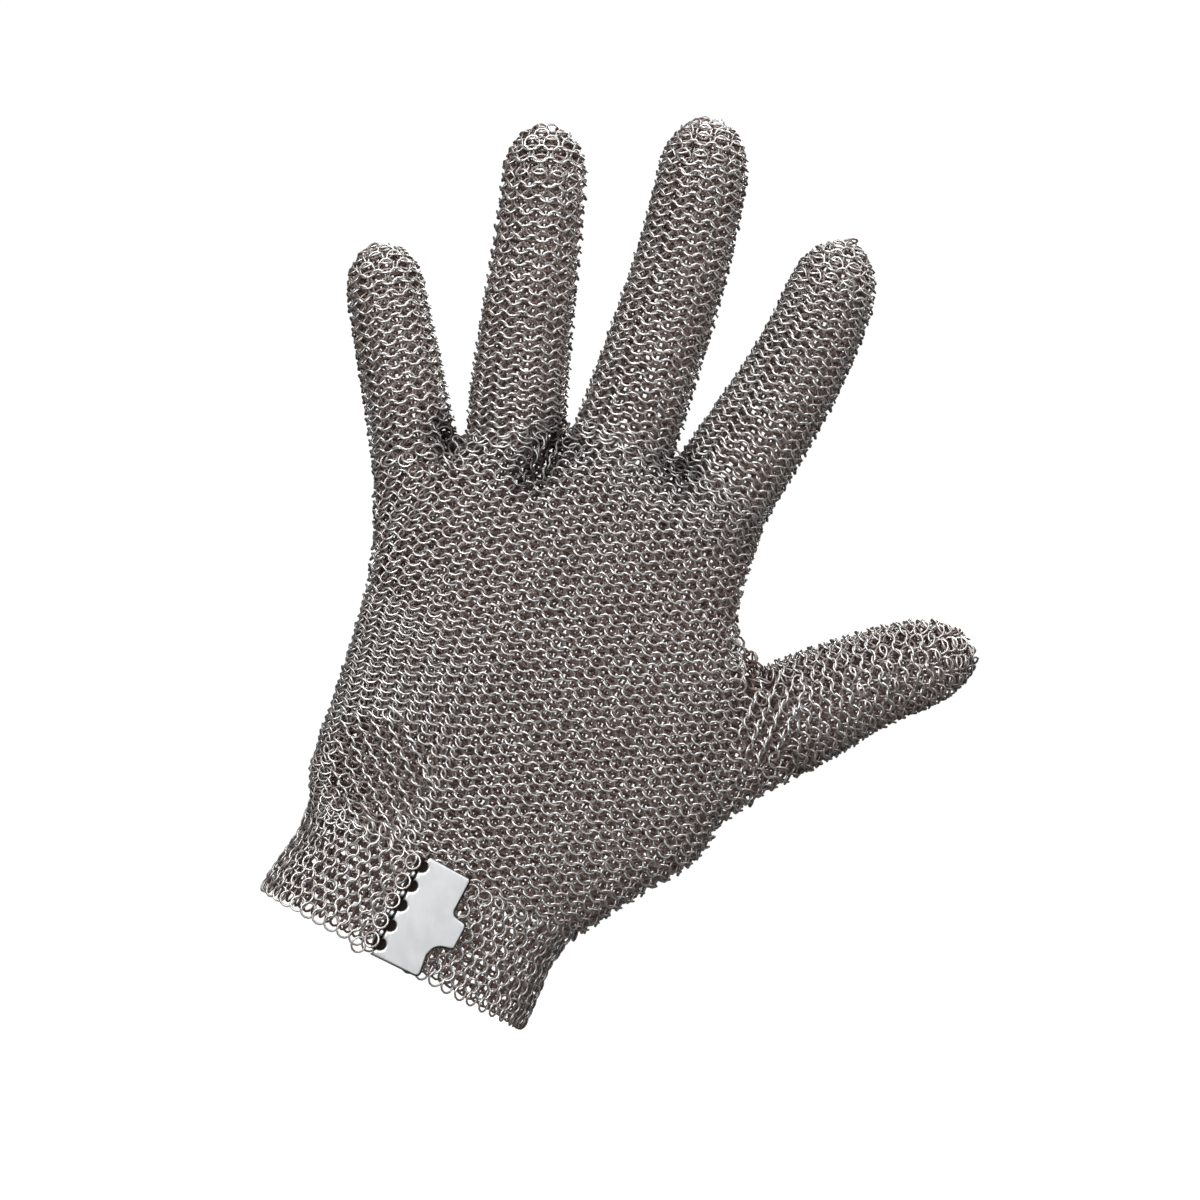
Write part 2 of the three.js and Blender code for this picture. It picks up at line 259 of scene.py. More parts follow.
def smoothed(points, times, is_closed=True):
    """The grid, each point drawn towards its four neighbours."""
    for _ in range(times):
        around = (np.roll(points, 1, axis=1) + np.roll(points, -1, axis=1)) / 2
        if not is_closed:
            around[:, 0] = points[:, 0]
            around[:, -1] = points[:, -1]
        along = around.copy()
        along[1:-1] = (points[2:] + points[:-2]) / 2
        points = 0.5 * points + 0.25 * (around + along)
    return points


def wall_normals(points, centres):
    """Outward normals of a grid of points."""
    around = np.roll(points, -1, axis=1) - np.roll(points, 1, axis=1)
    along = np.gradient(points, axis=0)
    normals = unit(np.cross(around, along))
    outward = np.sign(np.sum(normals * (points - centres[:, None, :]), axis=2))
    majority = 1.0 if outward.sum() >= 0 else -1.0
    return normals * majority


def grid_sample(grid, rows, columns):
    """Values of a grid at fractional rows and columns, the columns running round."""
    count = grid.shape[1]
    rows = np.clip(rows, 0, len(grid) - 1.001)
    low = np.floor(rows).astype(int)
    left = np.floor(columns).astype(int)
    u = (rows - low)[:, None]
    w = (columns - left)[:, None]
    here = grid[low, left % count] * (1 - w) + grid[low, (left + 1) % count] * w
    above = grid[low + 1, left % count] * (1 - w) + grid[low + 1, (left + 1) % count] * w
    return here * (1 - u) + above * u


def arc_lengths(points):
    steps = np.linalg.norm(np.diff(points, axis=0), axis=1)
    return np.concatenate([[0.0], np.cumsum(steps)])


def link_step(pitch):
    """Distance from row to row at which the linked rings hang taut."""
    half = np.sqrt(np.maximum(LINK_REACH ** 2 - (pitch / 2) ** 2, 0))
    return float(np.clip(2 * half, *ROW_STEPS))


# Rings
def ring_pattern(sides, wire):
    """One round wire ring about Z: its vertices, its faces and its outward directions."""
    shape = bmesh.new()
    made = bmesh.ops.create_circle(shape, segments=WIRE_SIDES, radius=wire / 2)
    bmesh.ops.rotate(
        shape, verts=made["verts"], matrix=Matrix.Rotation(math.pi / 2, 3, "X"), cent=(0, 0, 0)
    )
    bmesh.ops.translate(shape, verts=made["verts"], vec=(RING_RADIUS, 0, 0))
    bmesh.ops.spin(
        shape,
        geom=shape.verts[:] + shape.edges[:],
        cent=(0, 0, 0),
        axis=(0, 0, 1),
        angle=2 * math.pi,
        steps=sides,
        use_merge=True,
    )
    bmesh.ops.remove_doubles(shape, verts=shape.verts, dist=WIRE / 20)
    bmesh.ops.recalc_face_normals(shape, faces=shape.faces)
    shape.verts.index_update()
    corners = np.array([v.co[:] for v in shape.verts])
    faces = np.array([[v.index for v in face.verts] for face in shape.faces])
    shape.free()
    core = unit(corners * np.array([1.0, 1.0, 0.0])) * RING_RADIUS
    return corners, faces, unit(corners - core)



def painted_shade_of(centres, normals):
    """Painted shade of each ring: darker in the crotches where digits meet, and along the sides."""
    total = PAINTED_SIDE_SHADE * np.clip(1 - abs(normals[:, 1]) / SIDE_FACING, 0, 1)
    for x, z, reach in CROTCH_SHADE_SPOTS:
        away = np.hypot(centres[:, 0] - x * MM, centres[:, 2] - z * MM) / (reach * MM)
        total += np.exp(-(away ** 2))
    return np.minimum(total, 1)


class Rings:
    """Rings gathered for one piece: their centres, their own axes and the wall's normals."""

    def __init__(self, is_gathered=False, sides=RING_SIDES):
        self.loose = GATHERED_LOOSENESS if is_gathered else 1
        self.tilt = GATHERED_TILT if is_gathered else RING_TILT
        self.pattern = ring_pattern(sides, GATHERED_WIRE if is_gathered else WIRE)
        self.centres = np.empty((0, 3))
        self.turns = np.empty((0, 3, 3))
        self.normals = np.empty((0, 3))

    def add(self, points, normals, rows, side, tilt=None):
        """Rings centred in the wall, tilted to one side about their row's direction."""
        tilt = self.tilt if tilt is None else tilt
        loose = self.loose
        rows = unit(rows - normals * np.sum(rows * normals, axis=1, keepdims=True))
        count = len(points)
        lift = np.cross(normals, rows)
        lean = side * (tilt + dice.normal(0, loose * TILT_SPREAD, count))[:, None]
        twist = dice.normal(0, loose * TURN_SPREAD, count)[:, None]
        first = unit(rows + twist * normals)
        second = np.cos(lean) * lift + np.sin(lean) * normals
        second = unit(second - first * np.sum(first * second, axis=1, keepdims=True))
        third = np.cross(first, second)
        shift = dice.normal(0, loose * PLACE_SPREAD, (count, 3))
        middle = points - normals * (WALL / 2) + shift
        self.centres = np.concatenate([self.centres, middle])
        self.turns = np.concatenate([self.turns, np.stack([first, second, third], axis=2)])
        self.normals = np.concatenate([self.normals, normals])

    def join(self, other):
        self.centres = np.concatenate([self.centres, other.centres])
        self.turns = np.concatenate([self.turns, other.turns])
        self.normals = np.concatenate([self.normals, other.normals])

    def keep(self, mask):
        self.centres = self.centres[mask]
        self.turns = self.turns[mask]
        self.normals = self.normals[mask]

    def part(self, mask):
        """A new set with some of the rings."""
        chosen = Rings()
        chosen.pattern = self.pattern
        chosen.centres = self.centres
        chosen.turns = self.turns
        chosen.normals = self.normals
        chosen.keep(mask)
        return chosen

    def keep_side(self, is_palm):
        """Keeps the rings of the palm side, or all the others, with a narrow overlap."""
        depth = self.normals[:, 1]
        self.keep(depth > GATHERED_FROM if is_palm else depth < GATHERED_FROM + SIDE_OVERLAP)

    def mesh(self, name):
        """One mesh of all the rings, with what faces outwards kept for its material."""
        count = len(self.centres)
        ring, sides, directions = self.pattern
        corners = np.einsum("nij,vj->nvi", self.turns, ring) + self.centres[:, None, :]
        # Facing and depth of the wire, the masks for its painted shade
        facing = np.einsum("nij,vj,ni->nv", self.turns, directions, self.normals)
        depth = np.einsum("nij,vj,ni->nv", self.turns, ring, self.normals) / RING_RADIUS
        shift = np.arange(count)[:, None, None] * len(ring)
        faces = (sides[None] + shift).reshape(-1, sides.shape[1])
        data = bpy.data.meshes.new(name)
        data.vertices.add(count * len(ring))
        data.vertices.foreach_set("co", corners.astype(np.float32).ravel())
        data.loops.add(faces.size)
        data.loops.foreach_set("vertex_index", faces.astype(np.int32).ravel())
        data.polygons.add(len(faces))
        starts = np.arange(len(faces)) * sides.shape[1]
        data.polygons.foreach_set("loop_start", starts.astype(np.int32))
        data.polygons.foreach_set("use_smooth", np.ones(len(faces), bool))
        data.update(calc_edges=True)
        data.validate()
        shades = np.repeat(dice.random(count), len(ring))
        # Painted shade per ring, darker in the crotches between digits and along the sides
        painted_shades = np.repeat(painted_shade_of(self.centres, self.normals), len(ring))
        for key, values in (
            ("outside", facing), ("height", depth), ("shade", shades), ("painted_fold_shade", painted_shades)
        ):
            kept = data.attributes.new(key, "FLOAT", "POINT")
            kept.data.foreach_set("value", values.astype(np.float32).ravel())
        piece = bpy.data.objects.new(name, data)
        bpy.context.scene.collection.objects.link(piece)
        return piece


# Digits: closed tubes of rings in rows around a bent centre line
class CentreLine:
    """A digit's centre line, a smooth curve from its seam to its tip."""

    def __init__(self, name):
        corners = corners_of([name])
        tree = tree_of([name])
        middle = corners.mean(axis=0)
        tip = corners[np.argmax(np.linalg.norm(corners, axis=1))]
        forward = unit(tip - middle)
        forward = unit(forward * np.array([1.0, 0.0, 1.0]))
        along = (corners - middle) @ forward
        across = sideways(forward)
        places = np.arange(along.min() + FIT_MARGIN, along.max() - FIT_MARGIN, FIT_STEP)
        centres = [self.centred(tree, middle + forward * t, across) for t in places]
        self.fits = [np.polyfit(places, np.array(centres)[:, k], 3) for k in range(3)]
        self.first = along.min()
        self.last = along.max()

    @staticmethod
    def centred(tree, point, across):
        """The point moved midway between the walls, across and in depth."""
        for _ in range(3):
            for direction in (across, Y_AXIS):
                ends = [tree.ray_cast(Vector(point), Vector(s * direction)) for s in (1, -1)]
                if all(end[0] is not None for end in ends):
                    point = point + direction * (ends[0][3] - ends[1][3]) / 2
        return point

    def at(self, places):
        return np.stack([np.polyval(fit, places) for fit in self.fits], axis=1)

    def forward(self, places):
        slopes = [np.polyval(np.polyder(fit), places) for fit in self.fits]
        return unit(np.stack(slopes, axis=1))


def digit_wall(name):
    """Guide grid of a digit, in sections square to its centre line."""
    line = CentreLine(name)
    dome = line.last - DOME_REACH
    places = np.concatenate([
        np.arange(line.first - 2 * MM, dome, STATION),
        np.linspace(dome, line.last - TIP_MARGIN, DOME_STATIONS),
    ])
    centres = line.at(places)
    forwards = line.forward(places)
    angles = np.arange(DIGIT_RAYS) * 2 * math.pi / DIGIT_RAYS + math.pi / 2
    across = np.array([sideways(f) for f in forwards])
    depth = np.cross(forwards, across)
    depth = depth * np.sign(depth[:, 1:2])
    spokes = DIGIT_REACH * (
        np.cos(angles)[None, :, None] * across[:, None, :]
        + np.sin(angles)[None, :, None] * depth[:, None, :]
    )
    points = smoothed(outer_wall(tree_of([name]), centres, spokes, 0.05), SMOOTHINGS)
    return points, wall_normals(points, centres)


def digit_rings(wall, weave, is_palm):
    """Rows of rings round a digit, with fewer rings in each row over the tip."""
    points, normals = wall
    meridian = np.linalg.norm(np.diff(points, axis=0), axis=2).mean(axis=1)
    travel = np.concatenate([[0.0], np.cumsum(meridian)])
    index = np.arange(DIGIT_RAYS + 1).astype(float)
    rings = Rings(is_palm)
    around = weave["around"] + (PALM_EXTRA if is_palm else 0)
    place = 0.0
    side = 1
    while place < travel[-1]:
        row = np.interp(place, travel, np.arange(len(points)))
        loop = grid_sample(points, np.full(len(index), row), index)
        middle = loop.mean(axis=0)
        inner = middle + (loop - middle) * (1 - WALL / 2 / max(radius_of(loop, middle), WALL))
        length = arc_lengths(inner)
        count = around
        if length[-1] / around < TIGHTEST_PITCH:
            count = max(1, round(length[-1] / DOME_PITCH))
        pitch = length[-1] / count
        spots = (np.arange(count) + (0.25 if side > 0 else 0.75)) * pitch
        columns = np.interp(spots, length, index)
        rows = np.full(count, row)
        spot = grid_sample(points, rows, columns)
        normal = unit(grid_sample(normals, rows, columns))
        outward = unit(spot - middle)
        is_astray = (row < SEAM_ROWS) & (np.sum(normal * outward, axis=1) < 0.5)
        normal = np.where(is_astray[:, None], outward, normal)
        ahead = grid_sample(points, rows, columns + 1) - grid_sample(points, rows, columns - 1)
        share = place / travel[-1]
        step = MM * np.interp(share, ROOT_SHARES, (weave["root_step"], weave["tip_step"]))
        tilt = RING_TILT + CROWDED_TILT * (ROW_STEPS[1] - step) / MM
        rings.add(spot, normal, unit(ahead), side, None if is_palm else tilt)
        place += (GATHERED_STEP if is_palm else min(step, link_step(pitch))) / 2
        side = -side
    rings.keep_side(is_palm)
    return rings


def radius_of(loop, middle):
    return float(np.linalg.norm(loop - middle, axis=1).mean())


# The hand: a back sheet and a palm sheet of rings that meet along both edges
def hand_wall():
    """Guide grid of the hand, in sections square to the lean of its weave."""
    names = ["hand_mesh", "little_finger", "ring_finger", "middle_finger", "index_finger"]
    tree = tree_of(names)
    corners = corners_of(names)
    forward = np.array([math.sin(HAND_LEAN), 0.0, math.cos(HAND_LEAN)])
    across = sideways(forward)
    wrist = corners_of(["hand_mesh"]) @ forward
    places = np.arange(wrist.min() + 1 * MM, wrist.max() + 2 * MM, STATION)
    along = corners @ forward
    width = corners @ across
    window = 4 * MM
    edges = np.array([
        [width[abs(along - v) < window].min(), width[abs(along - v) < window].max()]
        for v in places
    ])
    weights = np.ones(9) / 9
    edges = np.stack(
        [np.convolve(np.pad(edges[:, k], 4, mode="edge"), weights, "valid") for k in range(2)],
        axis=1,
    )
    middles = edges.mean(axis=1)
    halves = (edges[:, 1] - edges[:, 0]) / 2
    centres = places[:, None] * forward + middles[:, None] * across
    angles = np.arange(HAND_RAYS) * 2 * math.pi / HAND_RAYS
    deep = 24 * MM
    spokes = (
        np.cos(angles)[None, :, None] * across * halves[:, None, None]
        + np.sin(angles)[None, :, None] * Y_AXIS * deep
    )
    points = smoothed(outer_wall(tree, centres, spokes, 0.3), SMOOTHINGS)
    return points, wall_normals(points, centres), places, across


def hand_rings(wall, is_palm):
    """Rows of rings across one side of the hand, counted from its middle line."""
    points, normals, places, across = wall
    pitch = PALM_PITCH if is_palm else BACK_PITCH
    middle = HAND_RAYS // 4 if is_palm else 3 * HAND_RAYS // 4
    reach = int(HAND_RAYS * SIDE_REACH)
    index = np.arange(middle - reach, middle + reach + 1).astype(float)
    rings = Rings(is_palm)
    place = places[0] - FOLD_RISE
    side = 1
    while place < places[-1] + 4 * MM:
        base = np.full(len(index), (place - places[0]) / STATION)
        offset = np.minimum(grid_sample(points, base, index) @ across - HAND_CENTRE, 0)
        fade = np.clip((places[0] + FOLD_TOP - place) / (FOLD_TOP + FOLD_RISE), 0, 1)
        folded = np.clip((-offset - FOLD_START) / FOLD_WIDTH, 0, 1)
        lift = 0 if is_palm else FOLD_RISE * folded * fade
        rows = base + (lift - ROW_BOW * offset ** 2) / STATION
        inside = (rows > -0.5) & (rows < len(places) - 0.5)
        strip = grid_sample(points, rows, index)
        strip = strip - unit(grid_sample(normals, rows, index)) * (WALL / 2)
        length = arc_lengths(strip)
        if not is_palm:
            crowding = 1 + FOLD_PRESS * (folded > 0) * fade
            steps = np.diff(length) * (crowding[1:] + crowding[:-1]) / 2
            length = np.concatenate([[0.0], np.cumsum(steps)])
        start = np.interp(0.0, *ordered(strip @ across - HAND_CENTRE, length))
        count = int(length[-1] / pitch) + 2
        spots = start + (np.arange(-count, count) + (0.25 if side > 0 else 0.75)) * pitch
        spots = spots[(spots > 0) & (spots < length[-1])]
        columns = np.interp(spots, length, index)
        here = np.interp(columns, index, inside.astype(float)) > 0.5
        columns = columns[here]
        spot_rows = np.interp(columns, index, rows)
        ahead = grid_sample(points, np.interp(columns + 1, index, rows), columns + 1)
        behind = grid_sample(points, np.interp(columns - 1, index, rows), columns - 1)
        spot = grid_sample(points, spot_rows, columns)
        normal = unit(grid_sample(normals, spot_rows, columns))
        rings.add(spot, normal, unit(ahead - behind), side)
        press = CROTCH_PRESS if place > places[-1] - CROTCH_REACH else 1
        place += (GATHERED_STEP if is_palm else press * link_step(pitch)) / 2
        side = -side
    rings.keep_side(is_palm)
    if is_palm:
        rings.keep(rings.centres[:, 1] > STRAY_DEPTH)
    return rings


def gathered_places(centres, normals, spot):
    """Which places lie on the back within a gather."""
    x, z, lean, half_width, half_length = spot
    forward = np.array([math.sin(math.radians(lean)), 0.0, math.cos(math.radians(lean))])
    apart = centres - np.array([x, 0.0, z]) * MM
    beside = apart @ forward / (half_width * MM)
    along = apart @ sideways(forward) / (half_length * MM)
    return (along ** 2 + beside ** 2 < GATHER_SHARE) & (normals[:, 1] < 0)


def clear_gathers(rings):
    for spot in GATHERS:
        rings.keep(~gathered_places(rings.centres, rings.normals, spot))


def gather_rings(tree, spot):
    """Ropes of tightly stacked rings laid side by side on the back of the glove."""
    x, z, lean, half_width, half_length = spot
    forward = np.array([math.sin(math.radians(lean)), 0.0, math.cos(math.radians(lean))])
    across = sideways(forward)
    rings = Rings()
    side = 1
    for place in np.arange(-half_width * MM, half_width * MM, ROPE_STEP):
        side = -side
        reach = half_length * MM * math.sqrt(1 - (place / (half_width * MM)) ** 2)
        count = int(reach / ROPE_PITCH + 1)
        spots = (np.arange(-count, count) + (0.25 if side > 0 else 0.75)) * ROPE_PITCH
        for offset in spots[abs(spots) < reach]:
            start = np.array([x, 0.0, z]) * MM + place * forward + offset * across
            hit = tree.ray_cast(Vector(start - RAY_START * Y_AXIS), Vector(Y_AXIS))
            if hit[0] is None:
                continue
            normal = np.array(hit[1]) * -np.sign(hit[1][1])
            row = math.cos(ROPE_TWIST) * across + math.sin(ROPE_TWIST) * forward
            rings.add(np.array([hit[0]]), normal[None], row[None], side, ROPE_TILT)
    return rings


def ordered(keys, values):
    order = np.argsort(keys)
    return keys[order], values[order]


# The cuff, whose rows run along the forearm
def cuff_wall():
    """Guide grid of the cuff, in sections square to the forearm."""
    corners = corners_of(["cuff_band"])
    along = corners @ FOREARM
    across = sideways(FOREARM)
    half = (corners @ across).max()
    deep = corners[:, 1].max()
    places = np.arange(along.min() + 0.5 * MM, along.max(), STATION)
    centres = places[:, None] * FOREARM[None, :]
    angles = np.arange(CUFF_RAYS) * 2 * math.pi / CUFF_RAYS + math.pi / 2
    section = (
        np.cos(angles)[:, None] * across[None, :] * half + np.sin(angles)[:, None] * Y_AXIS * deep
    )
    spokes = np.repeat(section[None], len(places), axis=0)
    points = outer_wall(tree_of(["cuff_band"]), centres, spokes, 0.8, filled_round)
    points = smoothed(points, SMOOTHINGS)
    return points, wall_normals(points, centres), along.max() - along.min()


def cuff_rings(wall, columns, is_palm):
    """Rows of rings that run up the forearm, an even number of them round the cuff."""
    points, normals, height = wall
    index = np.arange(CUFF_RAYS + 1).astype(float)
    length = arc_lengths(grid_sample(points, np.full(len(index), len(points) / 2), index))
    step = length[-1] / columns
    per_row = int(height / CUFF_PITCH + 0.5)
    rings = Rings(is_palm, RING_SIDES if is_palm else CUFF_SIDES)
    for column in range(2 * columns):
        side = 1 if column % 2 == 0 else -1
        spot = np.interp(((column + 0.5) * step / 2) % length[-1], length, index)
        shift = CUFF_SHIFTS[0] if side > 0 else CUFF_SHIFTS[1]
        heights = (np.arange(per_row) + shift) * CUFF_PITCH / STATION
        spots = np.full(len(heights), spot)
        here = grid_sample(points, heights, spots)
        normal = unit(grid_sample(normals, heights, spots))
        rows = np.repeat(FOREARM[None], len(heights), axis=0)
        rings.add(here, normal, rows, side, None if is_palm else CUFF_TILT)
    rings.keep_side(is_palm)
    beside = rings.centres @ sideways(FOREARM)
    near = np.exp(-(((beside - SEAT_MIDDLE) / SEAT_REACH) ** 4)) * (rings.centres[:, 1] < 0)
    rings.centres[:, 1] -= SEAT_LIFT * near
    is_gap = (rings.centres[:, 1] < 0) & (beside > CUFF_GAP[0]) & (beside < CUFF_GAP[1])
    rings.keep(~is_gap)
    return rings


# Clasp: a folded sheet, its front leaf bitten along the left edge where the rings hang on it
def arc_points(centre, radius, start, end, steps):
    angles = np.radians(np.linspace(start, end, steps + 1))
    return [(centre[0] + radius * math.cos(a), centre[1] + radius * math.sin(a)) for a in angles]


def leaf_outline():
    """Outline of the front leaf, in mm across and along the forearm."""
    line = arc_points((6.4, 1.5), 1.2, -90, 0, 4)
    line += arc_points((10.3, 5.9), 3.4, 190, 112, 7)
    line += arc_points((10.6, 10.6), 1.1, -80, 0, 4)
    line += arc_points((10.6, 15.4), 1.1, 0, 70, 3)
    line += arc_points((9.2, 18.2), 1.5, -110, -180, 3)
    line += arc_points((6.9, 25.3), 0.8, 0, 90, 3)
    line += arc_points((-2.7, 25.3), 0.8, 90, 180, 3)
    for middle in BITES:
        line += arc_points((BITE_LINE, middle), BITE_RADIUS, 100, -100, 10)
    line += [(-4.9, -0.1)]
    return line


def leaf(line, near, far, rim, segments):
    """One leaf of the clasp, its outer edge rolled over."""
    across = sideways(FOREARM)
    shape = bmesh.new()
    spots = [a * MM * across + b * MM * FOREARM + near * MM * Y_AXIS for a, b in line]
    corners = [shape.verts.new(spot) for spot in spots]
    face = shape.faces.new(corners)
    made = bmesh.ops.extrude_face_region(shape, geom=[face])
    moved = [item for item in made["geom"] if isinstance(item, bmesh.types.BMVert)]
    bmesh.ops.translate(shape, verts=moved, vec=Y_AXIS * (far - near) * MM)
    bmesh.ops.recalc_face_normals(shape, faces=shape.faces)
    front = [
        edge for edge in shape.edges
        if all(abs(vert.co.y - near * MM) < WIRE / 100 for vert in edge.verts)
    ]
    bmesh.ops.bevel(
        shape,
        geom=front,
        offset=rim * MM,
        offset_type="OFFSET",
        segments=segments,
        profile=0.5,
        affect="EDGES",
        clamp_overlap=False,
        material=-1,
    )
    bmesh.ops.remove_doubles(shape, verts=shape.verts, dist=WIRE / 100)
    bmesh.ops.triangulate(shape, faces=shape.faces)
    return shape


def plate_light_and_shade(vertex):
    """Painted light and shade: bright on the front, a painted shade under the rolled rim, a dimmed
    painted highlight on the rest of the rim, and a dark painted shade on the leaf behind.
    """
    if vertex.co.y > SHADED_LEAF_DEPTH:
        return 0.0
    turned = max(vertex.normal.x, -vertex.normal.z)
    if turned > RIM_TURN:
        return RIM_PAINTED_SHADE
    return 1.0 if vertex.normal.y < -FRONT_FACING else EDGE_DIMMED_HIGHLIGHT


def clasp_piece():
    """The clasp: front leaf, back leaf, and the curled ends of its teeth."""
    data = bpy.data.meshes.new("clasp")
    whole = bmesh.new()
    # The back leaf reaches under the bites and is painted near black, a painted shade seen through
    # them
    back_line = [(6.5, 1.2), (6.5, 25.4), (-5.6, 25.4), (-5.6, 1.2)]
    for line, sizes in ((leaf_outline(), FRONT_LEAF), (back_line, BACK_LEAF)):
        part = leaf(line, **sizes)
        part.to_mesh(data)
        part.free()
        whole.from_mesh(data)
    across = sideways(FOREARM)
    for low, high in zip(BITES[1:], BITES[:-1]):
        beside, depth = TOOTH_PLACE
        middle = MM * (beside * across + (low + high) / 2 * FOREARM + depth * Y_AXIS)
        knob = bmesh.ops.create_uvsphere(whole, u_segments=12, v_segments=8, radius=TOOTH_RADIUS * MM)
        bmesh.ops.scale(whole, verts=knob["verts"], vec=TOOTH_SHAPE)
        bmesh.ops.rotate(
            whole, verts=knob["verts"], matrix=Matrix.Rotation(-FOREARM_LEAN, 3, "Y"), cent=(0, 0, 0)
        )
        bmesh.ops.translate(whole, verts=knob["verts"], vec=middle)
    whole.normal_update()
    whole.to_mesh(data)
    whole.free()
    # Painted light and shade of the plate, per vertex
    outside = data.attributes.new("outside", "FLOAT", "POINT")
    outside.data.foreach_set("value", [plate_light_and_shade(v) for v in data.vertices])
    for polygon in data.polygons:
        polygon.use_smooth = True
    piece = bpy.data.objects.new("clasp", data)
    even = piece.modifiers.new("even_shading", "WEIGHTED_NORMAL")
    even.keep_sharp = True
    bpy.context.scene.collection.objects.link(piece)
    return piece


def hook_rings():
    """Rings that hang on the teeth of the clasp, in and between its bites."""
    across = sideways(FOREARM)
    rings = Rings()
    for beside, depth, steps in ((HOOK_LINE, HOOK_DEPTH, 0), (LINK_LINE, LINK_DEPTH, 0.5)):
        heights = np.array(BITES) - steps * (BITES[0] - BITES[1])
        points = beside * across + heights[:, None] * MM * FOREARM - depth * Y_AXIS
        normals = np.repeat(-Y_AXIS[None], len(heights), axis=0)
        rows = np.repeat(FOREARM[None], len(heights), axis=0)
        rings.add(points, normals, rows, 1 if steps else -1, HOOK_TILT)
    return rings


# Each ring stays with the wall that it lies in
WALL_TREES = {name: tree_of([name]) for name in [*DIGITS, "hand_mesh", "cuff_band"]}


def wall_distance(name, places):
    tree = WALL_TREES[name]
    return np.array([tree.find_nearest(Vector(p))[3] for p in places])


def keep_own(rings, name, others, overlap=SEAM_OVERLAP):
    """Drops the rings that lie nearer to another wall than to their own."""
    own = wall_distance(name, rings.centres)
    rest = np.min([wall_distance(other, rings.centres) for other in others], axis=0)
    rings.keep((own <= rest + overlap) & (own < WALL_SLACK))


